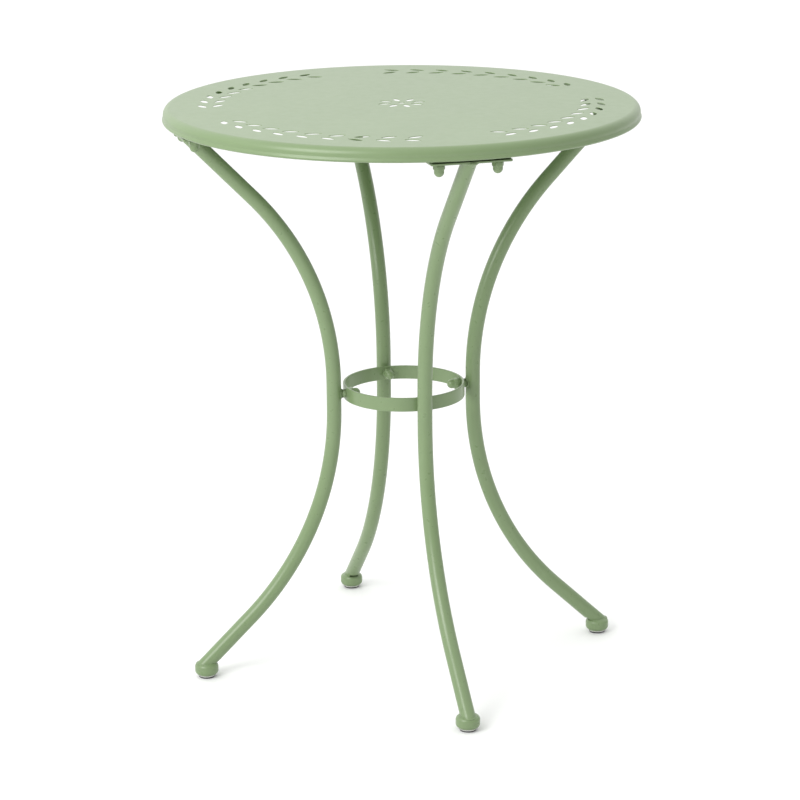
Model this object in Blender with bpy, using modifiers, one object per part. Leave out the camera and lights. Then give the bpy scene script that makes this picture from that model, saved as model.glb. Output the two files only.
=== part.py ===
"""Bistro table: pressed and punched steel top on four bent tube legs.

The legs stand on +X, -X, +Y and -Y. Each one is made in the frame of its own side, where
+X points outward, and hangs under an empty that turns it to its place. Units are metres,
+Z is up, and the origin is on the floor under the middle of the table.
"""

import math

import bmesh
import bpy

# ---------------------------------------------------------------- driving dimensions
HEIGHT = 0.738
TOP_RADIUS = 0.300
GAP = 0.0003  # clearance between touching pieces

# Pressed top
SHEET = 0.0008
EDGE_RADIUS = 0.009
RIM_DEPTH = 0.0175
HEM_RADIUS = 0.003
TOP_STEPS = 72

# Punched garlands: pairs of leaves, four times nine
PAIRS = 9
FIRST_PAIR_ANGLE = math.radians(13.6)
PAIR_PITCH = math.radians(7.8)
PATTERN_TURN = math.radians(0.6)
LEAF_LENGTH = 0.0215
LEAF_WIDTH = 0.0086
OUTER_LEAF_RADIUS = 0.2495
OUTER_LEAF_TURN = math.radians(23)
INNER_LEAF_RADIUS = 0.2300
INNER_LEAF_TURN = math.radians(-32)
INNER_LEAF_LEAD = math.radians(1.0)

# Punched flower in the middle
PETALS = 8
PETAL_LENGTH = 0.0175
PETAL_WIDTH = 0.0078
PETAL_RADIUS = 0.0220
EYE_RADIUS = 0.004

# Leg tube and the line it is bent to, from the waist up and from the waist down
TUBE_RADIUS = 0.0095
TUBE_WALL = 0.0015
WAIST_RADIUS = 0.0935
WAIST_LOW = 0.345
WAIST_HIGH = 0.380
UPPER_BEND = 0.360
UPPER_ANGLE = math.radians(44)
LOWER_BEND = 0.372
LOWER_ANGLE = math.radians(46.5)
BEND_STEPS = 6
TUBE_RESOLUTION = 4  # 12 sides

# Plate on the leg's upper end, and the channel under the top that it is bolted to
PLATE_LENGTH = 0.100
PLATE_WIDTH = 0.032
PLATE_THICKNESS = 0.0025
PLATE_CORNER = 0.003
PLATE_RADIUS = 0.274
PLATE_TOP = 0.7175
BOLT_SPACING = 0.072
CHANNEL_LENGTH = 0.096
CHANNEL_WIDTH = 0.026
CHANNEL_WALL = 0.002

# M8 fasteners
STUD_RADIUS = 0.004
HOLE_RADIUS = 0.0046
WASHER_RADIUS = 0.0075
WASHER_THICKNESS = 0.0012
NUT_ACROSS_FLATS = 0.013
NUT_HEX_HEIGHT = 0.0055
NUT_HEIGHT = 0.0145
NUT_DOME_RADIUS = 0.006
NUT_BORE_DEPTH = 0.0105
STUD_REACH = 0.009  # length of a stud inside its nut
ROUND_STEPS = 14

# Ring round the waist and its welded bosses
RING_RADIUS = 0.0785
RING_THICKNESS = 0.003
RING_HEIGHT = 0.018
RING_CENTRE = 0.366
RING_STEPS = 48
BOSS_RADIUS = 0.0055

# Foot cup, threaded insert and levelling glide
FOOT_RADIUS = 0.270
CUP_RADIUS = 0.01525
CUP_BOTTOM = 0.004
CUP_TOP = 0.019
CUP_WALL = 0.0015
CUP_SHOULDER = 0.005
CUP_LIP_RADIUS = 0.0128
CUP_LIP_WALL = 0.001
CUP_LIP_HEIGHT = 0.003
CUP_STEPS = 16
INSERT_RADIUS = 0.0064
INSERT_BOTTOM = 0.009
GLIDE_RADIUS = 0.0113
GLIDE_HEIGHT = 0.006
GLIDE_SOCKET = 0.0027
GLIDE_EDGE = 0.001
LEVELLER_TOP = 0.0195
VENT_WIDTH = 0.0085
VENT_TOP = 0.0203
VENT_DEPTH = 0.008

SIDES = {"right": 0.0, "back": 90.0, "left": 180.0, "front": 270.0}
MERGE = 0.0001

# name: base colour, roughness, metallic
MATERIALS = {
    "sage_paint": ((0.36, 0.45, 0.28, 1.0), 0.45, 0.0),
    "zinc_plate": ((0.62, 0.62, 0.60, 1.0), 0.32, 1.0),
}


# ---------------------------------------------------------------- scene helpers
def clear_scene():
    """Remove every object so that the script starts from an empty scene."""
    for item in list(bpy.data.objects):
        bpy.data.objects.remove(item, do_unlink=True)


def new_collection(name):
    """Add a collection to the scene."""
    collection = bpy.data.collections.new(name)
    bpy.context.scene.collection.children.link(collection)
    return collection


def new_material(name, colour, roughness, metallic):
    """Make a Principled material for one sub-part."""
    material = bpy.data.materials.new(name)
    material.use_nodes = True
    shader = material.node_tree.nodes["Principled BSDF"]
    shader.inputs["Base Color"].default_value = colour
    shader.inputs["Roughness"].default_value = roughness
    shader.inputs["Metallic"].default_value = metallic
    return material


def add_piece(name, mesh, finish, parent, location=(0, 0, 0), rotation=(0, 0, 0)):
    """Place a mesh as one named sub-part with a material of its own."""
    piece = bpy.data.objects.new(name, mesh)
    table_collection.objects.link(piece)
    piece.parent = parent
    piece.location = location
    piece.rotation_euler = rotation
    piece.material_slots[0].link = "OBJECT"
    piece.material_slots[0].material = new_material(name + "_finish", *MATERIALS[finish])
    return piece


def add_guide(name, data):
    """Link an object that only shapes others, hidden from renders."""
    guide = bpy.data.objects.new(name, data)
    cutter_collection.objects.link(guide)
    guide.hide_render = True
    guide.display_type = "WIRE"
    return guide


def baked_mesh(source, name):
    """Apply an object's modifiers into a clean mesh and remove the object."""
    bpy.context.view_layer.update()
    depsgraph = bpy.context.evaluated_depsgraph_get()
    mesh = bpy.data.meshes.new_from_object(source.evaluated_get(depsgraph))
    mesh.transform(source.matrix_world)
    mesh.name = name
    bpy.data.objects.remove(source, do_unlink=True)
    cleaned = bmesh.new()
    cleaned.from_mesh(mesh)
    bmesh.ops.remove_doubles(cleaned, verts=cleaned.verts, dist=1e-6)
    cleaned.to_mesh(mesh)
    cleaned.free()
    if not mesh.materials:
        mesh.materials.append(None)
    mesh.shade_smooth()
    mesh.set_sharp_from_angle(angle=math.radians(35))
    return mesh


def boolean(target, operand, operation):
    """Cut or join two objects with the exact solver and drop the operand."""
    modifier = target.modifiers.new(operation.lower(), "BOOLEAN")
    modifier.operation = operation
    modifier.solver = "EXACT"
    modifier.object = operand
    mesh = baked_mesh(target, target.name)
    bpy.data.objects.remove(operand, do_unlink=True)
    return add_guide(mesh.name, mesh)


# ---------------------------------------------------------------- shape helpers
def arc(centre, radius, start, end, steps):
    """Points along an arc, angles in degrees."""
    points = []
    for step in range(steps + 1):
        angle = math.radians(start + (end - start) * step / steps)
        points.append((centre[0] + radius * math.cos(angle), centre[1] + radius * math.sin(angle)))
    return points


def turned(name, profile, steps, closed=False):
    """Turn a profile of (radius, height) points round Z, listed down its outer side."""
    mesh = bpy.data.meshes.new(name)
    points = [(radius, 0, height) for radius, height in profile]
    edges = [(index, index + 1) for index in range(len(points) - 1)]
    if closed:
        edges.append((len(points) - 1, 0))
    mesh.from_pydata(points, edges, [])
    guide = add_guide(name, mesh)
    screw = guide.modifiers.new("turn", "SCREW")
    screw.axis = "Z"
    screw.angle = math.tau
    screw.steps = steps
    screw.render_steps = steps
    screw.use_merge_vertices = True
    screw.merge_threshold = MERGE
    return guide


def rod(name, radius, bottom, top, steps=ROUND_STEPS):
    """A plain round rod along Z."""
    mesh = bpy.data.meshes.new(name)
    shape = bmesh.new()
    bmesh.ops.create_cone(
        shape, cap_ends=True, segments=steps, radius1=radius, radius2=radius, depth=top - bottom
    )
    bmesh.ops.translate(shape, verts=shape.verts, vec=(0, 0, (top + bottom) / 2))
    shape.to_mesh(mesh)
    shape.free()
    return add_guide(name, mesh)


def block(name, size):
    """A plain block centred on the origin."""
    mesh = bpy.data.meshes.new(name)
    shape = bmesh.new()
    bmesh.ops.create_cube(shape, size=1)
    bmesh.ops.scale(shape, verts=shape.verts, vec=size)
    shape.to_mesh(mesh)
    shape.free()
    return add_guide(name, mesh)


def outline(name, loops, depth):
    """A flat shape, or several, as closed 2D splines with a thickness."""
    curve = bpy.data.curves.new(name, "CURVE")
    curve.dimensions = "2D"
    curve.fill_mode = "BOTH"
    curve.extrude = depth / 2
    for loop in loops:
        spline = curve.splines.new("POLY")
        spline.points.add(len(loop) - 1)
        spline.use_cyclic_u = True
        for point, (x, y) in zip(spline.points, loop):
            point.co = (x, y, 0, 1)
    return add_guide(name, curve)


def moved(guide, location=(0, 0, 0), rotation=(0, 0, 0)):
    """Set a guide's place and return it."""
    guide.location = location
    guide.rotation_euler = rotation
    return guide


# ---------------------------------------------------------------- pressed top
def leaf_loop(x, y, heading, length, width):
    """A pointed oval of eight points, centred on x, y and lying along heading."""
    stations = [0.0, 0.2, 0.5, 0.8, 1.0, 0.8, 0.5, 0.2]
    loop = []
    for index, station in enumerate(stations):
        side = 1 if index > 4 else -1
        along = (station - 0.5) * length
        across = side * width / 2 * math.sin(math.pi * station)
        loop.append((
            x + along * math.cos(heading) - across * math.sin(heading),
            y + along * math.sin(heading) + across * math.cos(heading),
        ))
    return loop


def garland_loops():
    """Leaf pairs of the four garlands, mirrored across X and across Y."""
    rows = (
        (OUTER_LEAF_RADIUS, 0.0, OUTER_LEAF_TURN),
        (INNER_LEAF_RADIUS, INNER_LEAF_LEAD, INNER_LEAF_TURN),
    )
    loops = []
    for pair in range(PAIRS):
        for radius, lead, turn in rows:
            angle = FIRST_PAIR_ANGLE + pair * PAIR_PITCH + lead
            heading = angle + math.pi / 2 - turn
            x = radius * math.cos(angle)
            y = radius * math.sin(angle)
            loop = leaf_loop(x, y, heading, LEAF_LENGTH, LEAF_WIDTH)
            for mirror_x in (1, -1):
                for mirror_y in (1, -1):
                    copy = [(mirror_x * px, mirror_y * py) for px, py in loop]
                    loops.append(copy if mirror_x == mirror_y else copy[::-1])
    return loops


def flower_loops():
    """Petals round the middle and the small round eye."""
    loops = []
    for petal in range(PETALS):
        angle = math.tau * petal / PETALS
        x = PETAL_RADIUS * math.cos(angle)
        y = PETAL_RADIUS * math.sin(angle)
        loops.append(leaf_loop(x, y, angle, PETAL_LENGTH, PETAL_WIDTH))
    loops.append(arc((0, 0), EYE_RADIUS, 0, 330, 11))
    return loops


def top_profile():
    """Section of the pressed sheet: flat, rounded edge, skirt and turned-in hem."""
    rounding = (TOP_RADIUS - EDGE_RADIUS, HEIGHT - EDGE_RADIUS)
    hem = (TOP_RADIUS - HEM_RADIUS, HEIGHT - RIM_DEPTH + HEM_RADIUS)
    outer = [(0, HEIGHT)]
    outer += arc(rounding, EDGE_RADIUS, 90, 0, 4)
    outer += arc(hem, HEM_RADIUS, 0, -90, 2)
    inner = arc(hem, HEM_RADIUS - SHEET, -90, 0, 2)
    inner += arc(rounding, EDGE_RADIUS - SHEET, 0, 90, 4)
    inner += [(0, HEIGHT - SHEET)]
    return outer + inner


def tabletop_mesh():
    """Turned sheet with the leaves and the flower punched through it."""
    sheet = turned("tabletop", top_profile(), TOP_STEPS)
    punch = outline("punches", garland_loops() + flower_loops(), 4 * SHEET)
    punch.location.z = HEIGHT - SHEET / 2
    punch.rotation_euler.z = PATTERN_TURN
    punch_mesh = baked_mesh(punch, "punches")
    return baked_mesh(boolean(sheet, add_guide("punches", punch_mesh), "DIFFERENCE"), "tabletop")


# ---------------------------------------------------------------- leg
def leg_line(bottom, top):
    """Centreline in the side's XZ plane: straight, bend, short waist, bend, straight."""
    low = arc((WAIST_RADIUS + LOWER_BEND, WAIST_LOW), LOWER_BEND,
              180 + math.degrees(LOWER_ANGLE), 180, BEND_STEPS)
    high = arc((WAIST_RADIUS + UPPER_BEND, WAIST_HIGH), UPPER_BEND,
               180, 180 - math.degrees(UPPER_ANGLE), BEND_STEPS)
    low_end = (low[0][0] + (low[0][1] - bottom) * math.tan(LOWER_ANGLE), bottom)
    high_end = (high[-1][0] + (top - high[-1][1]) * math.tan(UPPER_ANGLE), top)
    return [low_end] + low + high + [high_end]


def tube_surface(name, line):
    """Open tube skin along a line of (radius, height) points."""
    curve = bpy.data.curves.new(name, "CURVE")
    curve.dimensions = "3D"
    curve.bevel_depth = TUBE_RADIUS
    curve.bevel_resolution = TUBE_RESOLUTION
    spline = curve.splines.new("POLY")
    spline.points.add(len(line) - 1)
    for point, (x, z) in zip(spline.points, line):
        point.co = (x, 0, z, 1)
    return baked_mesh(add_guide(name, curve), name)


def cup_envelope():
    """Solid outline of the foot cup, one gap larger, that the tube is cut to."""
    radius = CUP_RADIUS + GAP
    top = CUP_TOP + GAP
    profile = [(0, top)]
    profile += arc((radius - CUP_SHOULDER, top - CUP_SHOULDER), CUP_SHOULDER, 90, 0, 2)
    profile += [(radius, -CUP_TOP), (0, -CUP_TOP)]
    return moved(turned("cup_envelope", profile, CUP_STEPS), (FOOT_RADIUS, 0, 0))


def leg_mesh():
    """Bent tube, trimmed flat under its plate and to the shoulder of its foot cup."""
    plate_bottom = PLATE_TOP - PLATE_THICKNESS
    line = leg_line(CUP_BOTTOM, plate_bottom + 2 * TUBE_RADIUS)
    tube = add_guide("leg", tube_surface("leg", line))
    wall = tube.modifiers.new("wall", "SOLIDIFY")
    wall.thickness = TUBE_WALL
    wall.offset = -1
    upper = rod("upper_trim", 4 * TUBE_RADIUS, plate_bottom - GAP, plate_bottom + 8 * TUBE_RADIUS)
    tube = boolean(tube, moved(upper, (PLATE_RADIUS, 0, 0)), "DIFFERENCE")
    floor = rod("lower_trim", 4 * TUBE_RADIUS, -CUP_TOP, CUP_TOP - CUP_SHOULDER / 3)
    tube = boolean(tube, moved(floor, (FOOT_RADIUS, 0, 0)), "DIFFERENCE")
    tube = boolean(tube, baked_guide(cup_envelope()), "DIFFERENCE")
    vent_x = leg_line(VENT_TOP, HEIGHT)[0][0] - TUBE_RADIUS / math.cos(LOWER_ANGLE)
    vent = block("vent", (VENT_DEPTH, VENT_WIDTH, CUP_TOP))
    moved(vent, (vent_x, 0, VENT_TOP - CUP_TOP / 2))
    return baked_mesh(boolean(tube, vent, "DIFFERENCE"), "leg")


def baked_guide(guide):
    """Replace a guide and its modifiers by a plain mesh guide."""
    return add_guide(guide.name, baked_mesh(guide, guide.name))


# ---------------------------------------------------------------- top fixing
def plate_mesh():
    """Flat plate with rounded corners and two bolt holes."""
    body = block("plate", (PLATE_WIDTH, PLATE_LENGTH, PLATE_THICKNESS))
    plate = body.data
    corners = body.modifiers.new("corners", "BEVEL")
    corners.width = PLATE_CORNER
    corners.segments = 2
    corners.affect = "EDGES"
    corners.limit_method = "WEIGHT"
    weights = plate.attributes.new("bevel_weight_edge", "FLOAT", "EDGE")
    for edge in plate.edges:
        start, end = (plate.vertices[index].co for index in edge.vertices)
        upright = abs(start.z - end.z) > PLATE_THICKNESS / 2
        weights.data[edge.index].value = 1.0 if upright else 0.0
    for side in (1, -1):
        hole = rod("hole", HOLE_RADIUS, -PLATE_THICKNESS, PLATE_THICKNESS)
        moved(hole, (0, side * BOLT_SPACING / 2, 0))
        body = boolean(body, hole, "DIFFERENCE")
    return baked_mesh(body, "plate")


def channel_mesh(stud_length):
    """Channel open towards the top, its floor at z = 0, with two studs pointing down."""
    half = CHANNEL_WIDTH / 2
    depth = HEIGHT - SHEET - GAP - (PLATE_TOP + GAP)
    loop = [
        (-half, depth), (-half, 0), (half, 0), (half, depth), (half - CHANNEL_WALL, depth),
        (half - CHANNEL_WALL, CHANNEL_WALL), (CHANNEL_WALL - half, CHANNEL_WALL),
        (CHANNEL_WALL - half, depth),
    ]
    body = outline("channel", [loop], CHANNEL_LENGTH)
    moved(body, rotation=(math.pi / 2, 0, 0))
    body = baked_guide(body)
    for side in (1, -1):
        stud = rod("stud", STUD_RADIUS, -stud_length, CHANNEL_WALL / 2, 10)
        moved(stud, (0, side * BOLT_SPACING / 2, 0))
        body = boolean(body, stud, "UNION")
    return baked_mesh(body, "channel")


def washer_mesh():
    """Flat washer with its upper face at z = 0."""
    profile = [
        (WASHER_RADIUS, 0), (WASHER_RADIUS, -WASHER_THICKNESS),
        (HOLE_RADIUS, -WASHER_THICKNESS), (HOLE_RADIUS, 0),
    ]
    return baked_mesh(turned("washer", profile, ROUND_STEPS, closed=True), "washer")


def nut_mesh():
    """Domed cap nut with its open hexagon face at z = 0 and its dome below."""
    hexagon = rod("cap_nut", NUT_ACROSS_FLATS / math.sqrt(3), -NUT_HEX_HEIGHT, 0, 6)
    shoulder = NUT_HEIGHT - NUT_DOME_RADIUS
    profile = [(0, -NUT_HEX_HEIGHT / 2), (NUT_DOME_RADIUS, -NUT_HEX_HEIGHT / 2)]
    profile += arc((0, -shoulder), NUT_DOME_RADIUS, 0, -90, 3)
    dome = baked_guide(turned("dome", profile, ROUND_STEPS))
    body = boolean(hexagon, dome, "UNION")
    bore = rod("bore", HOLE_RADIUS, -NUT_BORE_DEPTH, NUT_BORE_DEPTH, 10)
    return baked_mesh(boolean(body, bore, "DIFFERENCE"), "cap_nut")


# ---------------------------------------------------------------- waist ring
def ring_mesh():
    """Flat band with a stud hole at each leg."""
    low = RING_CENTRE - RING_HEIGHT / 2
    high = RING_CENTRE + RING_HEIGHT / 2
    inner = RING_RADIUS - RING_THICKNESS
    profile = [(RING_RADIUS, high), (RING_RADIUS, low), (inner, low), (inner, high)]
    band = turned("waist_ring", profile, RING_STEPS, closed=True)
    for azimuth in SIDES.values():
        turn = math.radians(azimuth)
        hole = rod("hole", HOLE_RADIUS, inner - RING_THICKNESS, RING_RADIUS + RING_THICKNESS)
        moved(hole, (0, 0, RING_CENTRE), (0, math.pi / 2, turn))
        band = boolean(band, hole, "DIFFERENCE")
    return baked_mesh(band, "waist_ring")


def ring_seat():
    """Distance from the table's axis to a flat washer that rests inside the curved band."""
    inner = (RING_RADIUS - RING_THICKNESS) * math.cos(math.pi / RING_STEPS)
    return math.sqrt(inner ** 2 - WASHER_RADIUS ** 2) - GAP


def boss_mesh():
    """Boss and stud along -Z: the boss's outer face is at z = 0, towards the leg."""
    outer_face = WAIST_RADIUS - TUBE_RADIUS - GAP
    boss_length = outer_face - RING_RADIUS - GAP
    reach = outer_face - ring_seat() + WASHER_THICKNESS + GAP + STUD_REACH
    profile = [
        (0, 0), (BOSS_RADIUS, 0), (BOSS_RADIUS, -boss_length), (STUD_RADIUS, -boss_length),
        (STUD_RADIUS, -reach), (0, -reach),
    ]
    return baked_mesh(turned("ring_boss", profile, ROUND_STEPS), "ring_boss")


# ---------------------------------------------------------------- foot
def cup_mesh():
    """Inverted cup: rounded shoulder, narrower lip, open below, stud hole in its crown."""
    shoulder = (CUP_RADIUS - CUP_SHOULDER, CUP_TOP - CUP_SHOULDER)
    profile = [(HOLE_RADIUS, CUP_TOP)]
    profile += arc(shoulder, CUP_SHOULDER, 90, 0, 2)
    profile += [
        (CUP_RADIUS, CUP_BOTTOM + CUP_LIP_HEIGHT),
        (CUP_LIP_RADIUS, CUP_BOTTOM),
        (CUP_LIP_RADIUS - CUP_LIP_WALL, CUP_BOTTOM),
        (CUP_RADIUS - CUP_WALL, CUP_BOTTOM + CUP_LIP_HEIGHT + CUP_LIP_WALL),
    ]
    profile += arc(shoulder, CUP_SHOULDER - CUP_WALL, 0, 90, 2)
    profile += [(HOLE_RADIUS, CUP_TOP - CUP_WALL)]
    return baked_mesh(turned("foot_cup", profile, CUP_STEPS, closed=True), "foot_cup")


def insert_mesh():
    """Threaded insert under the crown of the cup."""
    high = CUP_TOP - CUP_WALL - GAP
    profile = [
        (INSERT_RADIUS, high), (INSERT_RADIUS, INSERT_BOTTOM),
        (HOLE_RADIUS, INSERT_BOTTOM), (HOLE_RADIUS, high),
    ]
    return baked_mesh(turned("threaded_insert", profile, ROUND_STEPS, closed=True), "insert")


def glide_mesh():
    """Glide base, flat on the floor, with a socket for the levelling stud."""
    socket_floor = GLIDE_HEIGHT - GLIDE_SOCKET
    profile = [
        (0, socket_floor), (HOLE_RADIUS, socket_floor), (HOLE_RADIUS, GLIDE_HEIGHT),
        (GLIDE_RADIUS - GLIDE_EDGE, GLIDE_HEIGHT), (GLIDE_RADIUS, GLIDE_HEIGHT - GLIDE_EDGE),
        (GLIDE_RADIUS, GLIDE_EDGE), (GLIDE_RADIUS - GLIDE_EDGE, 0), (0, 0),
    ]
    return baked_mesh(turned("glide", profile, CUP_STEPS), "glide")


def leveller_mesh():
    """Levelling stud, from the glide's socket up through the insert."""
    low = GLIDE_HEIGHT - GLIDE_SOCKET + GAP
    return baked_mesh(rod("leveller", STUD_RADIUS, low, LEVELLER_TOP), "leveller")


# ---------------------------------------------------------------- assembly
def add_side(side, azimuth, meshes):
    """Hang one leg with everything that belongs to it under an empty."""
    frame = bpy.data.objects.new("side_" + side, None)
    table_collection.objects.link(frame)
    frame.rotation_euler.z = math.radians(azimuth)
    plate_z = PLATE_TOP - PLATE_THICKNESS / 2
    plate_bottom = PLATE_TOP - PLATE_THICKNESS
    add_piece("leg_" + side, meshes["leg"], "sage_paint", frame)
    add_piece("leg_plate_" + side, meshes["plate"], "sage_paint", frame, (PLATE_RADIUS, 0, plate_z))
    channel_place = (PLATE_RADIUS, 0, PLATE_TOP + GAP)
    add_piece("top_channel_" + side, meshes["channel"], "sage_paint", frame, channel_place)
    for label, direction in (("a", 1), ("b", -1)):
        tag = side + "_" + label
        bolt_y = direction * BOLT_SPACING / 2
        washer_place = (PLATE_RADIUS, bolt_y, plate_bottom - GAP)
        nut_place = (PLATE_RADIUS, bolt_y, plate_bottom - 2 * GAP - WASHER_THICKNESS)
        add_piece("top_washer_" + tag, meshes["washer"], "sage_paint", frame, washer_place)
        add_piece("top_cap_nut_" + tag, meshes["nut"], "sage_paint", frame, nut_place)
    inward = (0, math.pi / 2, 0)
    boss_place = (WAIST_RADIUS - TUBE_RADIUS - GAP, 0, RING_CENTRE)
    washer_place = (ring_seat(), 0, RING_CENTRE)
    nut_place = (ring_seat() - GAP - WASHER_THICKNESS, 0, RING_CENTRE)
    add_piece("ring_boss_" + side, meshes["boss"], "sage_paint", frame, boss_place, inward)
    add_piece("ring_washer_" + side, meshes["washer"], "sage_paint", frame, washer_place, inward)
    add_piece("ring_cap_nut_" + side, meshes["nut"], "sage_paint", frame, nut_place, inward)
    foot = (FOOT_RADIUS, 0, 0)
    add_piece("foot_cup_" + side, meshes["cup"], "sage_paint", frame, foot)
    add_piece("threaded_insert_" + side, meshes["insert"], "zinc_plate", frame, foot)
    add_piece("glide_base_" + side, meshes["glide"], "zinc_plate", frame, foot)
    add_piece("levelling_stud_" + side, meshes["leveller"], "zinc_plate", frame, foot)


def build_table():
    """Make each shape once and place its copies."""
    stud_length = GAP + PLATE_THICKNESS + 2 * GAP + WASHER_THICKNESS + STUD_REACH
    meshes = {
        "leg": leg_mesh(),
        "plate": plate_mesh(),
        "channel": channel_mesh(stud_length),
        "washer": washer_mesh(),
        "nut": nut_mesh(),
        "boss": boss_mesh(),
        "cup": cup_mesh(),
        "insert": insert_mesh(),
        "glide": glide_mesh(),
        "leveller": leveller_mesh(),
    }
    add_piece("tabletop", tabletop_mesh(), "sage_paint", None)
    add_piece("waist_ring", ring_mesh(), "sage_paint", None)
    for side, azimuth in SIDES.items():
        add_side(side, azimuth, meshes)


clear_scene()
table_collection = new_collection("bistro_table")
cutter_collection = new_collection("cutters")
build_table()
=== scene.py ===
"""Bistro table, dressed: punched sheet top, bent tubes, welds, cap nuts and levelling feet.

Pieces are made at the right-hand side of the table, which lies along +X, and turned to the
four sides. Everything is in metres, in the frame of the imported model.
"""
import math
import random

import bmesh
import bpy
from mathutils import Matrix, Vector
from mathutils.geometry import tessellate_polygon


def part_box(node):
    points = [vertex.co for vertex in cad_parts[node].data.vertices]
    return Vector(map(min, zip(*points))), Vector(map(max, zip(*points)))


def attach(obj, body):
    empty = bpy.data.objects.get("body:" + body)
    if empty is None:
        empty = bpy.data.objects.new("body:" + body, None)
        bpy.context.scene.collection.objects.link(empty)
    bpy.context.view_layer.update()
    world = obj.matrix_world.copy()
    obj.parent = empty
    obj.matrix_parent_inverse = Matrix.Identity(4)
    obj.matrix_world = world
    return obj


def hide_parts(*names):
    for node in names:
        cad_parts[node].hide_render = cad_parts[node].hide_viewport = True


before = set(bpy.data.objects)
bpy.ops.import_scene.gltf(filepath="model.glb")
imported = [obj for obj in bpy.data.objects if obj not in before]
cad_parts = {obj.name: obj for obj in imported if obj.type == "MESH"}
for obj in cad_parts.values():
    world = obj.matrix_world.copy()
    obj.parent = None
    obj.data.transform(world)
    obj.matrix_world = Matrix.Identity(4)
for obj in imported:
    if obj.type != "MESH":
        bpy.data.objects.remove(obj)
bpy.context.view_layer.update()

# ---------------------------------------------------------------- places, from the frame
TOP_LOW, TOP_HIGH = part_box("tabletop")
PLATE_LOW, PLATE_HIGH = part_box("leg_plate_right")
CHANNEL_LOW, CHANNEL_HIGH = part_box("top_channel_right")
WASHER_LOW, WASHER_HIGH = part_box("top_washer_right_a")
NUT_LOW, NUT_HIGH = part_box("top_cap_nut_right_a")
RING_LOW, RING_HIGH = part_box("waist_ring")
RING_WASHER_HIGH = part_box("ring_washer_right")[1]
RING_NUT_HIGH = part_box("ring_cap_nut_right")[1]
BOSS_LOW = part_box("ring_boss_right")[0]
CUP_LOW, CUP_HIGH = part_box("foot_cup_right")
INSERT_LOW, INSERT_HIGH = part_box("threaded_insert_right")
GLIDE_LOW, GLIDE_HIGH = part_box("glide_base_right")
STUD_LOW, STUD_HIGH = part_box("levelling_stud_right")

HEIGHT = TOP_HIGH.z
TOP_RADIUS = TOP_HIGH.x
BOLT_Y = (NUT_LOW.y + NUT_HIGH.y) / 2
PLATE_X = (PLATE_LOW.x + PLATE_HIGH.x) / 2
FOOT_X = (CUP_LOW.x + CUP_HIGH.x) / 2
CUP_RADIUS = (CUP_HIGH.x - CUP_LOW.x) / 2
GLIDE_RADIUS = (GLIDE_HIGH.x - GLIDE_LOW.x) / 2
WASHER_RADIUS = (WASHER_HIGH.y - WASHER_LOW.y) / 2
RING_Z = (RING_LOW.z + RING_HIGH.z) / 2

# ---------------------------------------------------------------- top
SHEET = 0.0008
EDGE_RADIUS = 0.009
HEM_RADIUS = 0.003
WALL_INSET = 0.0011
RECESS_INSET = 0.0016
RECESS_DROP = 0.0118
RECESS_BEND = 0.0012
PUNCH_EDGE = 0.00028
PAIRS = 9
FIRST_PAIR_ANGLE = math.radians(13.6)
PAIR_PITCH = math.radians(7.8)
PATTERN_TURN = math.radians(0.6)
LEAF_LENGTH = 0.0215
LEAF_WIDTH = 0.0086
LEAF_POINTS = 28
OUTER_LEAF = (0.2495, 0.0, math.radians(23))
INNER_LEAF = (0.2300, math.radians(1.0), math.radians(-32))
PETALS = 8
PETAL_LENGTH = 0.0175
PETAL_WIDTH = 0.0078
PETAL_RADIUS = 0.0220
EYE_RADIUS = 0.004

# ---------------------------------------------------------------- legs
TUBE_RADIUS = 0.0095
TUBE_WALL = 0.0015
WAIST_RADIUS = 0.0935
WAIST_LOW = 0.345
WAIST_HIGH = 0.380
UPPER_BEND = 0.360
UPPER_ANGLE = 44
LOWER_BEND = 0.372
LOWER_ANGLE = 46.5
BEND_STEPS = 40

# ---------------------------------------------------------------- fixings
SHEET_EDGE = 0.0005
PLATE_CORNER = 0.004
PLATE_WELD = 0.0019
HOLE_RADIUS = 0.0046
CHANNEL_WALL = 0.002
NUT_ACROSS_FLATS = 0.013
NUT_HEX_HEIGHT = 0.0055
NUT_DOME_RADIUS = 0.006
NUT_CHAMFER = 0.0007
NUT_FILLET = 0.0003
WASHER_EDGE = 0.0003
BOLT_RADIUS = 0.004
BOSS_RADIUS = 0.0055
SMALL_WELD = 0.0011
BAND_THICKNESS = 0.003
BAND_EDGE = 0.0009
THREAD_PITCH = 0.00125
THREAD_DEPTH = 0.0006

# ---------------------------------------------------------------- feet
CUP_SHOULDER = 0.005
CUP_WALL = 0.0015
CUP_LIP_RADIUS = 0.0128
CUP_LIP_HEIGHT = 0.003
CUP_LIP_BEND = 0.0018
CUP_LIP_EDGE = 0.0005
CUP_LIP_INSET = 0.0004
CUP_SKIRT_INSET = 0.0006
INSERT_EDGE = 0.0004
VENT_HALF_WIDTH = 0.0062
VENT_TOP = 0.0224
SOLE_HEIGHT = 0.0021
SHELL_HEIGHT = 0.0037
SHELL_EDGE = 0.0005
SHELL_RIM = 0.0008
SHELL_RIM_DROP = 0.0002
SOLE_RECESS = 0.0003
SOLE_INSET = 0.0009
SOLE_EDGE = 0.0007
NECK_INSET = 0.0026
SOCKET_GAP = 0.0003

# ---------------------------------------------------------------- studio
BRIGHT_SIDE = Vector((-0.22, 0.62, 0.80))
STUDIO_DIM = 0.18
STUDIO_BRIGHT = 1.50
KEY_AZIMUTH = 212
KEY_ELEVATION = 32
KEY_DISTANCE = 2.8
KEY_SIZE = 1.5
KEY_POWER = 44
CAMERA_PLACE = (-0.9615, -3.270, 1.3424)
CAMERA_AZIMUTH = 73.70
CAMERA_PITCH = 16.235
CAMERA_ROLL = -0.455
CAMERA_LENS = 123.56
SENSOR_WIDTH = 36
FLOOR_REACH = 20

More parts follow.
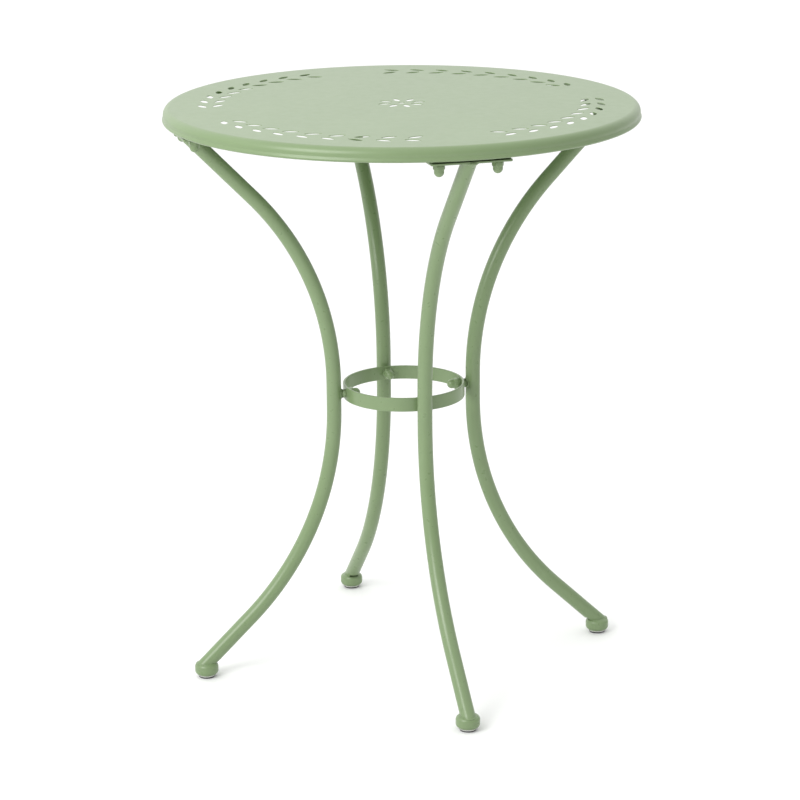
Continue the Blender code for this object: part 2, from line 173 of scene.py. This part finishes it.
# ---------------------------------------------------------------- detail
SIDES = {"right": 0, "back": 90, "left": 180, "front": 270}
TOP_SEGMENTS = 240
BAND_SEGMENTS = 192
FOOT_SEGMENTS = 64
NUT_SEGMENTS = 72
ROUND = 48
WELD_RIPPLE = 0.0023
WELD_SWELL = 0.1
WELD_UNEVENNESS = 0.04
NOISE_LOW = 0.3
NOISE_HIGH = 0.7


# ---------------------------------------------------------------- outlines
def arc(centre, radius, start, end, steps):
    """Points round a centre between two angles in degrees."""
    angles = [math.radians(start + (end - start) * step / steps) for step in range(steps + 1)]
    return [(centre[0] + radius * math.cos(a), centre[1] + radius * math.sin(a)) for a in angles]


def softened(corners, radius, steps=3, closed=False):
    """A line through corners, with the corners between its ends rounded."""
    count = len(corners)
    points = []
    for index, (u, v) in enumerate(corners):
        if not closed and index in (0, count - 1):
            points.append((u, v))
            continue
        before, after = corners[index - 1], corners[(index + 1) % count]
        ends = []
        for other in (before, after):
            length = math.dist((u, v), other)
            reach = min(radius, 0.45 * length) / length
            ends.append((u + (other[0] - u) * reach, v + (other[1] - v) * reach))
        for step in range(steps + 1):
            t = step / steps
            weights = ((1 - t) ** 2, 2 * t * (1 - t), t * t)
            curve = zip(ends[0], (u, v), ends[1])
            points.append(tuple(sum(w * c for w, c in zip(weights, axis)) for axis in curve))
    return points


def leaf_loop(x, y, heading, length, width):
    """A pointed oval that lies along heading."""
    loop = []
    for step in range(LEAF_POINTS):
        angle = math.tau * step / LEAF_POINTS
        along = math.cos(angle) * length / 2
        across = math.sin(angle) * abs(math.sin(angle)) ** 0.6 * width / 2
        loop.append((
            x + along * math.cos(heading) - across * math.sin(heading),
            y + along * math.sin(heading) + across * math.cos(heading),
        ))
    return loop


def punched_loops():
    """Four garlands of leaf pairs, mirror images of each other, and the flower."""
    loops = []
    for pair in range(PAIRS):
        for radius, lead, turn in (OUTER_LEAF, INNER_LEAF):
            angle = FIRST_PAIR_ANGLE + pair * PAIR_PITCH + lead
            heading = angle + math.pi / 2 - turn
            place = (radius * math.cos(angle), radius * math.sin(angle))
            leaf = leaf_loop(*place, heading, LEAF_LENGTH, LEAF_WIDTH)
            for flip_x in (1, -1):
                for flip_y in (1, -1):
                    copy = [(flip_x * x, flip_y * y) for x, y in leaf]
                    loops.append(copy if flip_x == flip_y else copy[::-1])
    for petal in range(PETALS):
        angle = math.tau * petal / PETALS
        place = (PETAL_RADIUS * math.cos(angle), PETAL_RADIUS * math.sin(angle))
        loops.append(leaf_loop(*place, angle, PETAL_LENGTH, PETAL_WIDTH))
    loops.append(arc((0, 0), EYE_RADIUS, 0, 360, ROUND)[:-1])
    c, s = math.cos(PATTERN_TURN), math.sin(PATTERN_TURN)
    return [[(x * c - y * s, x * s + y * c) for x, y in loop] for loop in loops]


# ---------------------------------------------------------------- mesh making
class Skin:
    """Rows of vertices, and the faces between them, gathered into one mesh."""

    def __init__(self):
        self.places = []
        self.faces = []

    def row(self, places):
        start = len(self.places)
        self.places += [Vector(place) for place in places]
        return list(range(start, len(self.places)))

    def bridge(self, first, second, closed=True):
        """Quads between two rows of the same count."""
        for index in range(len(first) if closed else len(first) - 1):
            after = (index + 1) % len(first)
            self.faces.append((first[index], first[after], second[after], second[index]))

    def bridge_all(self, rows, closed=False):
        """Quads between each row and the next."""
        for first, second in zip(rows, rows[1:]):
            self.bridge(first, second)
        if closed:
            self.bridge(rows[-1], rows[0])

    def fill(self, loops):
        """Flat face inside the first row and outside the others."""
        order = [index for loop in loops for index in loop]
        polygons = [[self.places[index] for index in loop] for loop in loops]
        self.faces += [tuple(order[i] for i in corners) for corners in tessellate_polygon(polygons)]

    def mesh(self, name):
        """The finished mesh, with its faces turned outwards."""
        mesh = bpy.data.meshes.new(name)
        mesh.from_pydata(self.places, [], self.faces)
        shape = bmesh.new()
        shape.from_mesh(mesh)
        bmesh.ops.remove_doubles(shape, verts=shape.verts, dist=1e-6)
        bmesh.ops.recalc_face_normals(shape, faces=shape.faces)
        shape.to_mesh(mesh)
        shape.free()
        mesh.shade_smooth()
        return mesh


def circle_rows(skin, section, segments, radius_at=lambda radius, height, angle: radius):
    """Rows of a section of (radius, height) points turned round Z."""
    rows = []
    for radius, height in section:
        places = []
        for step in range(segments):
            angle = math.tau * step / segments
            reach = radius_at(radius, height, angle)
            places.append((reach * math.cos(angle), reach * math.sin(angle), height))
        rows.append(skin.row(places))
    return rows


def turned(name, section, segments=ROUND, closed=False):
    """Mesh of a section turned round Z: from axis to axis, or a closed ring."""
    skin = Skin()
    skin.bridge_all(circle_rows(skin, section, segments), closed)
    return skin.mesh(name)


def rounded_edge(skin, loop, side, high, low, radius, steps=3):
    """Rounded edge along a counter-clockwise loop; side is 1 for a hole, -1 for an outline.

    Returns its highest and its lowest row."""
    inward = []
    for index in range(len(loop)):
        before, after = loop[index - 1], loop[(index + 1) % len(loop)]
        inward.append(side * Vector((after[1] - before[1], before[0] - after[0])).normalized())
    turns = [math.pi / 2 * step / steps for step in range(steps + 1)]
    stations = [(turn, high - radius * (1 - math.cos(turn))) for turn in turns]
    stations += [(turn, low + radius * (1 - math.cos(turn))) for turn in reversed(turns)]
    rows = []
    for turn, height in stations:
        offset = radius * (1 - math.sin(turn))
        places = [(x + d.x * offset, y + d.y * offset, height) for (x, y), d in zip(loop, inward)]
        rows.append(skin.row(places))
    skin.bridge_all(rows)
    return rows[0], rows[-1]


def slab(name, outline, holes, high, low, radius):
    """Mesh of a flat plate with holes, its edges rounded."""
    skin = Skin()
    edges = [rounded_edge(skin, outline, -1, high, low, radius)]
    edges += [rounded_edge(skin, hole, 1, high, low, radius) for hole in holes]
    skin.fill([top for top, _ in edges])
    skin.fill([bottom for _, bottom in edges])
    return skin.mesh(name)


def weld_bead(name, path, radius, seed, closed=True, sides=10):
    """Weld bead along a path, with the ripples of its pools; open ends taper off."""
    chance = random.Random(seed)
    count = len(path)
    skin = Skin()
    rows = []
    travelled = chance.uniform(0, WELD_RIPPLE)
    for index, place in enumerate(path):
        before = path[index - 1] if closed or index else place
        after = path[(index + 1) % count] if closed or index < count - 1 else place
        along = (after - before).normalized()
        across = along.cross(Vector((0.31, 0.17, 0.93))).normalized()
        over = along.cross(across)
        travelled += (place - before).length
        size = 1 + WELD_SWELL * math.sin(math.tau * travelled / WELD_RIPPLE)
        size += chance.uniform(-WELD_UNEVENNESS, WELD_UNEVENNESS)
        if not closed:
            size *= min(1.0, 0.2 + 0.4 * min(index, count - 1 - index))
        ring = []
        for step in range(sides):
            angle = math.tau * step / sides
            ring.append(place + radius * size * (across * math.cos(angle) + over * math.sin(angle)))
        rows.append(skin.row(ring))
    skin.bridge_all(rows, closed)
    if not closed:
        skin.faces += [tuple(rows[0]), tuple(rows[-1])]
    return skin.mesh(name)


def threaded_rod(name, low, high, radius=BOLT_RADIUS, segments=24):
    """Rod with a helical thread and chamfered ends."""
    def thread(reach, height, angle):
        phase = (height / THREAD_PITCH - angle / math.tau) % 1
        groove = THREAD_DEPTH * abs(2 * phase - 1)
        chamfer = max(0.0, THREAD_DEPTH - (high - height), THREAD_DEPTH - (height - low))
        return min(reach, radius - max(groove, chamfer))

    steps = math.ceil((high - low) / THREAD_PITCH * 6)
    section = [(radius, low + (high - low) * step / steps) for step in range(steps + 1)]
    section = [(0, low)] + section + [(0, high)]
    skin = Skin()
    skin.bridge_all(circle_rows(skin, section, segments, thread))
    return skin.mesh(name)


# ---------------------------------------------------------------- top
def top_sheet_mesh():
    """Pressed sheet: rounded edge, skirt, turned-in hem, and the pattern punched through."""
    rounding = (TOP_RADIUS - WALL_INSET - EDGE_RADIUS, HEIGHT - EDGE_RADIUS)
    hem = (TOP_RADIUS - HEM_RADIUS, TOP_LOW.z + HEM_RADIUS)
    recess = (TOP_RADIUS - RECESS_INSET, HEIGHT - RECESS_DROP)
    section = arc(rounding, EDGE_RADIUS, 90, 0, 12)
    section += softened([section[-1], recess, (TOP_RADIUS, hem[1])], RECESS_BEND)[1:-1]
    section += arc(hem, HEM_RADIUS, 0, -90, 6) + arc(hem, HEM_RADIUS - SHEET, -90, 0, 6)
    section.append((recess[0] - SHEET, recess[1]))
    section += arc(rounding, EDGE_RADIUS - SHEET, 0, 90, 12)
    skin = Skin()
    rows = circle_rows(skin, section, TOP_SEGMENTS)
    skin.bridge_all(rows)
    punches = [
        rounded_edge(skin, loop, 1, HEIGHT, HEIGHT - SHEET, PUNCH_EDGE) for loop in punched_loops()
    ]
    skin.fill([rows[0]] + [top for top, _ in punches])
    skin.fill([rows[-1]] + [bottom for _, bottom in punches])
    return skin.mesh("top_sheet")


# ---------------------------------------------------------------- leg
def leg_stations():
    """Places along the tube's centreline, foot to plate, each with the direction across it."""
    low_centre = Vector((WAIST_RADIUS + LOWER_BEND, 0, WAIST_LOW))
    high_centre = Vector((WAIST_RADIUS + UPPER_BEND, 0, WAIST_HIGH))
    stations = []
    bends = ((low_centre, LOWER_BEND, LOWER_ANGLE, 0), (high_centre, UPPER_BEND, 0, -UPPER_ANGLE))
    for centre, radius, start, end in bends:
        for step in range(BEND_STEPS + 1):
            angle = math.radians(180 + start + (end - start) * step / BEND_STEPS)
            across = Vector((math.cos(angle), 0, math.sin(angle)))
            stations.append((centre + radius * across, across))
    return stations


def tube_ring(place, across, radius):
    """Points round the tube, from the side that faces the table's axis."""
    ring = []
    for step in range(ROUND):
        angle = math.tau * step / ROUND
        ring.append(place + radius * (across * math.cos(angle) + Vector((0, math.sin(angle), 0))))
    return ring


def slid(ring, across, height_at):
    """A ring pushed along the straight end of the tube, each point to its own height."""
    along = Vector((-across.z, 0, across.x))
    moved = []
    for place in ring:
        level = place + along * ((CUP_HIGH.z - place.z) / along.z)
        moved.append(place + along * ((height_at(level) - place.z) / along.z))
    return moved


def cup_surface(place):
    """Height of the cup's crown and shoulder under a place."""
    past = math.hypot(place.x - FOOT_X, place.y) - (CUP_RADIUS - CUP_SHOULDER)
    past = min(max(past, 0.0), 0.75 * CUP_SHOULDER)
    return CUP_HIGH.z - CUP_SHOULDER + math.sqrt(CUP_SHOULDER ** 2 - past ** 2)


def foot_end(place):
    """Height where the tube ends at the foot: on the cup, or at the top of the vent."""
    over_vent = abs(place.y) < VENT_HALF_WIDTH and place.x < FOOT_X - CUP_RADIUS / 2
    return VENT_TOP if over_vent else cup_surface(place) - CUP_WALL / 4


def plate_end(place):
    """Height where the tube ends under its plate."""
    return PLATE_LOW.z


def leg_end_rings(radius):
    """The tube's last ring at the foot, and its last ring under the plate."""
    stations = leg_stations()
    foot, plate = stations[0], stations[-1]
    return (
        slid(tube_ring(*foot, radius), foot[1], foot_end),
        slid(tube_ring(*plate, radius), plate[1], plate_end),
    )


def leg_mesh():
    """Bent hollow tube, cut to the cup and to the plate, with a vent at the foot."""
    skin = Skin()
    skins = []
    for radius in (TUBE_RADIUS, TUBE_RADIUS - TUBE_WALL):
        foot_ring, plate_ring = leg_end_rings(radius)
        rings = [tube_ring(place, across, radius) for place, across in leg_stations()]
        rows = [skin.row(ring) for ring in [foot_ring] + rings + [plate_ring]]
        skin.bridge_all(rows)
        skins.append(rows)
    for end in (0, -1):
        skin.bridge(skins[0][end], skins[1][end])
    return skin.mesh("leg_tube")


def plate_weld_mesh(seed):
    """Bead round the tube where it meets its plate."""
    return weld_bead("plate_weld", leg_end_rings(TUBE_RADIUS)[1], PLATE_WELD, seed)


def cup_weld_mesh(seed):
    """Bead round the tube where it meets the foot cup, open at the vent."""
    ring = leg_end_rings(TUBE_RADIUS)[0]
    path = [place for place in ring if abs(place.z - VENT_TOP) > 1e-6]
    first = next(i for i, place in enumerate(ring) if abs(place.z - VENT_TOP) > 1e-6)
    start = path.index(ring[first])
    return weld_bead("cup_weld", path[start:] + path[:start], SMALL_WELD, seed, closed=False)


# ---------------------------------------------------------------- top fixing
def plate_mesh():
    """Flat plate with rounded corners and two bolt holes."""
    corners = [
        (PLATE_LOW.x, PLATE_LOW.y), (PLATE_HIGH.x, PLATE_LOW.y),
        (PLATE_HIGH.x, PLATE_HIGH.y), (PLATE_LOW.x, PLATE_HIGH.y),
    ]
    outline = softened(corners, PLATE_CORNER, steps=6, closed=True)
    holes = [arc((PLATE_X, y), HOLE_RADIUS, 0, 360, ROUND)[:-1] for y in (-BOLT_Y, BOLT_Y)]
    return slab("leg_plate", outline, holes, PLATE_HIGH.z, PLATE_LOW.z, SHEET_EDGE)


def channel_mesh():
    """Folded channel, open towards the top sheet."""
    half = (CHANNEL_HIGH.x - CHANNEL_LOW.x) / 2
    floor = PLATE_HIGH.z - PLATE_LOW.z
    depth = CHANNEL_HIGH.z - PLATE_HIGH.z
    outer = softened([(half, depth), (half, 0), (-half, 0), (-half, depth)], CHANNEL_WALL, 5)
    inner_half = half - CHANNEL_WALL
    inner = [
        (-inner_half, depth), (-inner_half, CHANNEL_WALL), (inner_half, CHANNEL_WALL),
        (inner_half, depth),
    ]
    loop = (outer + softened(inner, CHANNEL_WALL / 2, 3))[::-1]
    mesh = slab("top_channel", loop, [], CHANNEL_HIGH.y, CHANNEL_LOW.y, SHEET_EDGE / 2)
    upright = Matrix(((1, 0, 0), (0, 0, 1), (0, 1, 0))).to_4x4()
    mesh.transform(Matrix.Translation((PLATE_X, 0, PLATE_HIGH.z)) @ upright)
    mesh.flip_normals()
    return mesh


def nut_mesh():
    """Domed cap nut, its open face at z = 0 and its dome towards -Z."""
    flat = NUT_ACROSS_FLATS / 2
    corner = flat / math.cos(math.pi / 6)

    def hexagon(limit, height, angle):
        return min(limit, flat / math.cos((angle + math.pi / 6) % (math.pi / 3) - math.pi / 6))

    drop = NUT_HIGH.z - NUT_LOW.z
    section = [
        (BOLT_RADIUS, -NUT_HEX_HEIGHT), (BOLT_RADIUS, 0), (flat, 0),
        (corner - NUT_CHAMFER / 2, -NUT_CHAMFER), (corner, -2 * NUT_CHAMFER),
        (corner, NUT_CHAMFER - NUT_HEX_HEIGHT),
        (corner - NUT_CHAMFER, NUT_CHAMFER / 2 - NUT_HEX_HEIGHT), (flat, -NUT_HEX_HEIGHT),
        (NUT_DOME_RADIUS + NUT_FILLET, -NUT_HEX_HEIGHT),
        (NUT_DOME_RADIUS, -NUT_HEX_HEIGHT - NUT_FILLET),
    ]
    section += arc((0, NUT_DOME_RADIUS - drop), NUT_DOME_RADIUS, 0, -90, 9)
    skin = Skin()
    rows = circle_rows(skin, section, NUT_SEGMENTS, hexagon)
    skin.bridge_all(rows)
    skin.faces.append(tuple(rows[0]))
    return skin.mesh("cap_nut")


def washer_mesh():
    """Flat washer with its upper face at z = 0."""
    low = WASHER_LOW.z - WASHER_HIGH.z
    corners = [(WASHER_RADIUS, 0), (WASHER_RADIUS, low), (HOLE_RADIUS, low), (HOLE_RADIUS, 0)]
    return turned("washer", softened(corners, WASHER_EDGE, closed=True), closed=True)


# ---------------------------------------------------------------- waist ring
def ring_mesh():
    """Flat band rolled to a ring."""
    outer = RING_HIGH.x
    inner = outer - BAND_THICKNESS
    corners = [(outer, RING_HIGH.z), (outer, RING_LOW.z), (inner, RING_LOW.z), (inner, RING_HIGH.z)]
    return turned("waist_band", softened(corners, BAND_EDGE, 4, closed=True), BAND_SEGMENTS, closed=True)


def boss_ring(radius):
    """Points where a round boss meets the leg tube."""
    ring = []
    for step in range(ROUND):
        angle = math.tau * step / ROUND
        y = radius * math.sin(angle)
        x = WAIST_RADIUS - math.sqrt(TUBE_RADIUS ** 2 - y ** 2)
        ring.append(Vector((x, y, RING_Z + radius * math.cos(angle))))
    return ring


def boss_mesh():
    """Boss between the band and the leg, cut to the tube, with its stud through the band."""
    skin = Skin()
    seat = boss_ring(BOSS_RADIUS)
    outer = [Vector((RING_HIGH.x, place.y, place.z)) for place in seat]
    stud = boss_ring(BOLT_RADIUS)
    rows = [skin.row(seat), skin.row(outer)]
    for x in (RING_HIGH.x, BOSS_LOW.x):
        rows.append(skin.row([Vector((x, place.y, place.z)) for place in stud]))
    skin.bridge_all(rows)
    skin.faces += [tuple(rows[0]), tuple(rows[-1])]
    return skin.mesh("ring_boss")


# ---------------------------------------------------------------- foot
def cup_mesh():
    """Pressed cup upside down: domed shoulder, drawn-in lip, stud hole in its crown."""
    shoulder = (CUP_RADIUS - CUP_SHOULDER, CUP_HIGH.z - CUP_SHOULDER)
    inner = CUP_RADIUS - CUP_WALL
    skirt = CUP_LOW.z + CUP_LIP_HEIGHT
    lip = CUP_LIP_RADIUS
    section = [(HOLE_RADIUS, CUP_HIGH.z)] + arc(shoulder, CUP_SHOULDER, 90, 0, 10)
    section += softened([section[-1], (CUP_RADIUS, skirt), (lip, CUP_LOW.z)], CUP_LIP_BEND, 5)[1:-1]
    lip_centre = (lip - CUP_LIP_INSET, CUP_LOW.z + CUP_LIP_INSET)
    section += arc(lip_centre, CUP_LIP_EDGE, 0, -180, 6)
    section += [(inner - CUP_SKIRT_INSET, skirt), (inner, skirt + CUP_WALL)]
    section += arc(shoulder, CUP_SHOULDER - CUP_WALL, 0, 90, 6)
    section += [(HOLE_RADIUS, CUP_HIGH.z - CUP_WALL)]
    return turned("foot_cup", section, FOOT_SEGMENTS, closed=True)


def insert_mesh():
    """Threaded insert under the crown."""
    outer = (INSERT_HIGH.x - INSERT_LOW.x) / 2
    corners = [
        (outer, INSERT_HIGH.z), (outer, INSERT_LOW.z), (HOLE_RADIUS, INSERT_LOW.z),
        (HOLE_RADIUS, INSERT_HIGH.z),
    ]
    return turned("threaded_insert", softened(corners, INSERT_EDGE, closed=True), closed=True)


def glide_mesh():
    """Pressed metal shell of the glide, with the socket for its stud."""
    socket = STUD_LOW.z - SOCKET_GAP
    seat = SOLE_HEIGHT + SOLE_RECESS
    corners = [
        (0, socket), (HOLE_RADIUS, socket), (HOLE_RADIUS, GLIDE_HIGH.z),
        (GLIDE_RADIUS - NECK_INSET, GLIDE_HIGH.z), (GLIDE_RADIUS - NECK_INSET, SHELL_HEIGHT),
        (GLIDE_RADIUS, SHELL_HEIGHT),
        (GLIDE_RADIUS, SOLE_HEIGHT), (GLIDE_RADIUS - SHELL_RIM, SOLE_HEIGHT - SHELL_RIM_DROP),
        (GLIDE_RADIUS - SHELL_RIM - SHELL_RIM_DROP, seat), (0, seat),
    ]
    return turned("glide_shell", softened(corners, SHELL_EDGE), FOOT_SEGMENTS)


def sole_mesh():
    """Plastic sole pressed into the shell."""
    radius = GLIDE_RADIUS - SOLE_INSET
    high = SOLE_HEIGHT + SHELL_RIM_DROP
    corners = [(0, high), (radius, high), (radius, 0), (0, 0)]
    return turned("glide_sole", softened(corners, SOLE_EDGE), FOOT_SEGMENTS)


# ---------------------------------------------------------------- materials
def link_noise(nodes, links, coordinates, scale, detail):
    """Noise in the piece's own metres."""
    noise = nodes.new("ShaderNodeTexNoise")
    noise.inputs["Scale"].default_value = scale
    noise.inputs["Detail"].default_value = detail
    links.new(coordinates.outputs["Object"], noise.inputs["Vector"])
    return noise


def link_range(nodes, links, source, low, high):
    """A value spread between low and high."""
    spread = nodes.new("ShaderNodeMapRange")
    spread.inputs["From Min"].default_value = NOISE_LOW
    spread.inputs["From Max"].default_value = NOISE_HIGH
    spread.inputs["To Min"].default_value = low
    spread.inputs["To Max"].default_value = high
    links.new(source.outputs[0], spread.inputs["Value"])
    return spread


def link_colours(nodes, links, source, colours):
    """A colour ramp between a few close colours."""
    ramp = nodes.new("ShaderNodeValToRGB")
    ramp.color_ramp.elements[0].position = NOISE_LOW
    ramp.color_ramp.elements[0].color = (*colours[0], 1)
    ramp.color_ramp.elements[1].position = NOISE_HIGH
    ramp.color_ramp.elements[1].color = (*colours[1], 1)
    links.new(source.outputs[0], ramp.inputs["Fac"])
    return ramp


def link_bump(nodes, links, source, depth, strength, before=None):
    """Bump of a real depth in metres, on top of another bump."""
    bump = nodes.new("ShaderNodeBump")
    bump.inputs["Distance"].default_value = depth
    bump.inputs["Strength"].default_value = strength
    links.new(source.outputs[0], bump.inputs["Height"])
    if before:
        links.new(before.outputs["Normal"], bump.inputs["Normal"])
    return bump


def surface(name, colours, roughness, bumps, patches, metallic=0.0):
    """Material with close colours in patches, a roughness range and bumps of
    (scale, detail, depth, strength)."""
    material = bpy.data.materials.new(name)
    material.use_nodes = True
    nodes, links = material.node_tree.nodes, material.node_tree.links
    shader = nodes["Principled BSDF"]
    coordinates = nodes.new("ShaderNodeTexCoord")
    patch = link_noise(nodes, links, coordinates, patches, 4)
    ramp = link_colours(nodes, links, patch, colours)
    links.new(ramp.outputs["Color"], shader.inputs["Base Color"])
    worn = link_noise(nodes, links, coordinates, patches * 7, 3)
    spread = link_range(nodes, links, worn, *roughness)
    links.new(spread.outputs["Result"], shader.inputs["Roughness"])
    bump = None
    for scale, detail, depth, strength in bumps:
        grain = link_noise(nodes, links, coordinates, scale, detail)
        bump = link_bump(nodes, links, grain, depth, strength, bump)
    links.new(bump.outputs["Normal"], shader.inputs["Normal"])
    shader.inputs["Metallic"].default_value = metallic
    return material


def make_materials():
    """Powder coat, bright zinc and black plastic."""
    orange_peel = (500, 2, 0.00004, 0.14)
    fine_grain = (2600, 3, 0.00001, 0.12)
    smooth_peel = (420, 2, 0.00005, 0.15)
    paint = ((0.172, 0.245, 0.118), (0.180, 0.255, 0.124))
    return {
        "top_paint": surface("top_powder_coat", paint, (0.32, 0.35), (smooth_peel,), 14),
        "frame_paint": surface("powder_coat", paint, (0.27, 0.32), (orange_peel, fine_grain), 22),
        "zinc_plate": surface("zinc_plate", ((0.55, 0.55, 0.53), (0.68, 0.68, 0.66)), (0.18, 0.34),
                              ((900, 4, 0.00003, 0.3),), 160, metallic=1.0),
        "sole_plastic": surface("sole_plastic", ((0.012, 0.012, 0.013), (0.022, 0.022, 0.023)),
                                (0.42, 0.58), ((1500, 3, 0.00003, 0.4),), 120),
    }


# ---------------------------------------------------------------- pieces
def dress(name, mesh, slot, body="frame", azimuth=0, replaced=(), place=Matrix()):
    """Put a piece on its side of the table and make it ride on its body."""
    piece = bpy.data.objects.new(name, mesh)
    bpy.context.scene.collection.objects.link(piece)
    piece.matrix_world = Matrix.Rotation(math.radians(azimuth), 4, "Z") @ place
    if not mesh.materials:
        mesh.materials.append(materials[slot])
    piece.modifiers.new("normals", "WEIGHTED_NORMAL").keep_sharp = True
    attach(piece, body)
    if replaced:
        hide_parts(*replaced)
    return piece


def dress_side(side, azimuth, shapes):
    """Everything on one side, from the top channel to the glide."""
    seed = azimuth
    plain = (("leg_tube", "leg"), ("leg_plate", "leg_plate"), ("channel", "top_channel"),
             ("boss", "ring_boss"))
    for label, node in plain:
        dress(f"{label}_{side}", shapes[label], "frame_paint", azimuth=azimuth,
              replaced=[f"{node}_{side}"])
    dress(f"plate_weld_{side}", plate_weld_mesh(seed), "frame_paint", azimuth=azimuth)
    dress(f"cup_weld_{side}", cup_weld_mesh(seed + 1), "frame_paint", azimuth=azimuth)
    boss_weld = weld_bead("boss_weld", boss_ring(BOSS_RADIUS), SMALL_WELD, seed + 2)
    dress(f"boss_weld_{side}", boss_weld, "frame_paint", azimuth=azimuth)
    for label, direction in (("a", 1), ("b", -1)):
        tag = f"{side}_{label}"
        for shape, node, height in (("washer", "top_washer", WASHER_HIGH.z),
                                    ("nut", "top_cap_nut", NUT_HIGH.z)):
            place = Matrix.Translation((PLATE_X, direction * BOLT_Y, height))
            dress(f"{shape}_{tag}", shapes[shape], "frame_paint", azimuth=azimuth,
                  replaced=[f"{node}_{tag}"], place=place)
        bolt_place = Matrix.Translation((PLATE_X, direction * BOLT_Y, 0))
        dress(f"bolt_{tag}", shapes["bolt"], "zinc_plate", azimuth=azimuth, place=bolt_place)
    inward = Matrix.Rotation(math.pi / 2, 4, "Y")
    for shape, node, x in (("washer", "ring_washer", RING_WASHER_HIGH.x),
                           ("nut", "ring_cap_nut", RING_NUT_HIGH.x)):
        place = Matrix.Translation((x, 0, RING_Z)) @ inward
        dress(f"ring_{shape}_{side}", shapes[shape], "frame_paint", azimuth=azimuth,
              replaced=[f"{node}_{side}"], place=place)
    foot = Matrix.Translation((FOOT_X, 0, 0))
    feet = (
        ("cup", "frame", "frame_paint", "foot_cup"),
        ("insert", "frame", "zinc_plate", "threaded_insert"),
        ("stud", "leveller_" + side, "zinc_plate", "levelling_stud"),
        ("glide", "glide_" + side, "zinc_plate", "glide_base"),
        ("sole", "glide_" + side, "sole_plastic", None),
    )
    for shape, body, slot, node in feet:
        dress(f"{shape}_{side}", shapes[shape], slot, body, azimuth,
              [f"{node}_{side}"] if node else (), foot)


# ---------------------------------------------------------------- stage
def look_from(place, azimuth, pitch, roll):
    """World matrix of a camera or lamp that looks along an azimuth, pitched down, in degrees."""
    heading, tilt, lean = math.radians(azimuth), math.radians(pitch), math.radians(roll)
    forward = Vector((
        math.cos(heading) * math.cos(tilt), math.sin(heading) * math.cos(tilt), -math.sin(tilt)
    ))
    right = Vector((math.sin(heading), -math.cos(heading), 0))
    up = right.cross(forward)
    leaned_right = math.cos(lean) * right + math.sin(lean) * up
    leaned_up = math.cos(lean) * up - math.sin(lean) * right
    axes = Matrix((leaned_right, leaned_up, -forward)).transposed().to_4x4()
    return Matrix.Translation(place) @ axes


def add_camera():
    """Camera at the viewing angle of a product picture."""
    data = bpy.data.cameras.new("camera")
    data.lens = CAMERA_LENS
    data.sensor_width = SENSOR_WIDTH
    camera = bpy.data.objects.new("camera", data)
    bpy.context.scene.collection.objects.link(camera)
    camera.matrix_world = look_from(CAMERA_PLACE, CAMERA_AZIMUTH, CAMERA_PITCH, CAMERA_ROLL)
    bpy.context.scene.camera = camera


def add_softbox():
    """Square soft light that shines at the middle of the table."""
    data = bpy.data.lights.new("key", "AREA")
    data.size = KEY_SIZE
    data.energy = KEY_POWER
    lamp = bpy.data.objects.new("key", data)
    bpy.context.scene.collection.objects.link(lamp)
    aim = look_from((0, 0, 0), KEY_AZIMUTH + 180, KEY_ELEVATION, 0)
    place = Vector((0, 0, HEIGHT / 2)) + KEY_DISTANCE * (aim.to_3x3() @ Vector((0, 0, 1)))
    lamp.matrix_world = Matrix.Translation(place) @ aim


def add_surroundings():
    """White studio, brighter above and to one side."""
    world = bpy.data.worlds.new("studio")
    world.use_nodes = True
    nodes, links = world.node_tree.nodes, world.node_tree.links
    coordinates = nodes.new("ShaderNodeTexCoord")
    facing = nodes.new("ShaderNodeVectorMath")
    facing.operation = "DOT_PRODUCT"
    facing.inputs[1].default_value = BRIGHT_SIDE.normalized()
    links.new(coordinates.outputs["Generated"], facing.inputs[0])
    spread = nodes.new("ShaderNodeMapRange")
    spread.inputs["From Min"].default_value = -1
    spread.inputs["To Min"].default_value = STUDIO_DIM
    spread.inputs["To Max"].default_value = STUDIO_BRIGHT
    links.new(facing.outputs["Value"], spread.inputs["Value"])
    background = nodes["Background"]
    background.inputs["Color"].default_value = (1, 1, 1, 1)
    links.new(spread.outputs["Result"], background.inputs["Strength"])
    bpy.context.scene.world = world


def add_stage():
    """Pale floor and a softbox."""
    reach = FLOOR_REACH
    corners = [(-reach, -reach, 0), (reach, -reach, 0), (reach, reach, 0), (-reach, reach, 0)]
    mesh = bpy.data.meshes.new("floor")
    mesh.from_pydata(corners, [], [(0, 1, 2, 3)])
    floor = bpy.data.objects.new("floor", mesh)
    bpy.context.scene.collection.objects.link(floor)
    mesh.materials.append(surface("floor_white", ((0.88, 0.88, 0.88), (0.89, 0.89, 0.89)),
                                  (0.85, 0.9), ((40, 2, 0.0001, 0.1),), 3))
    add_softbox()
    bpy.context.scene.view_settings.view_transform = "Standard"


materials = make_materials()
shapes = {
    "leg_tube": leg_mesh(),
    "leg_plate": plate_mesh(),
    "channel": channel_mesh(),
    "boss": boss_mesh(),
    "washer": washer_mesh(),
    "nut": nut_mesh(),
    "bolt": threaded_rod("bolt", NUT_HIGH.z - NUT_HEX_HEIGHT, PLATE_HIGH.z + CHANNEL_WALL),
    "cup": cup_mesh(),
    "insert": insert_mesh(),
    "stud": threaded_rod("levelling_stud", STUD_LOW.z, STUD_HIGH.z),
    "glide": glide_mesh(),
    "sole": sole_mesh(),
}
dress("top_sheet", top_sheet_mesh(), "top_paint", replaced=["tabletop"])
dress("waist_band", ring_mesh(), "frame_paint", replaced=["waist_ring"])
for side, azimuth in SIDES.items():
    dress_side(side, azimuth, shapes)
add_camera()
add_surroundings()
add_stage()
